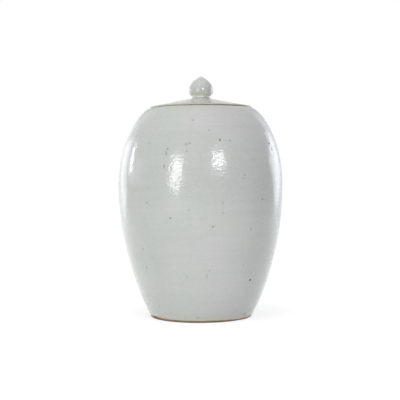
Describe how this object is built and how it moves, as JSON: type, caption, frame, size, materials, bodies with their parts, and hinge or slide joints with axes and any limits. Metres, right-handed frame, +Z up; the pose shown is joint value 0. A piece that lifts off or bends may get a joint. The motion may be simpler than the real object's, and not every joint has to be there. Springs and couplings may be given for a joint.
{
  "type": "lidded jar",
  "caption": "Tall egg-shaped glazed stoneware storage jar with a low conical lift-off lid, bud-shaped knob and bare clay rim and foot.",
  "frame": {"origin": "centre of the foot, on the plane the jar stands on", "axes": "+Z up along the axis of the jar; X and Y level, and equal because the jar is turned"},
  "size_m": [0.33, 0.33, 0.4835],
  "materials": {
    "glaze": "glossy pale grey-green glaze over stoneware, with iron specks",
    "bare_clay": "unglazed brown stoneware, matt"
  },
  "bodies": {
    "jar": {"lower_body": "glaze", "upper_body": "glaze"},
    "lid": {"lid_disc": "glaze", "lid_flange": "bare_clay", "lid_knob": "glaze"}
  },
  "joints": [
    {"name": "lid_lift", "type": "slide", "parent": "jar", "child": "lid", "axis": [0, 0, 1], "range_m": [0, 0.25]}
  ]
}
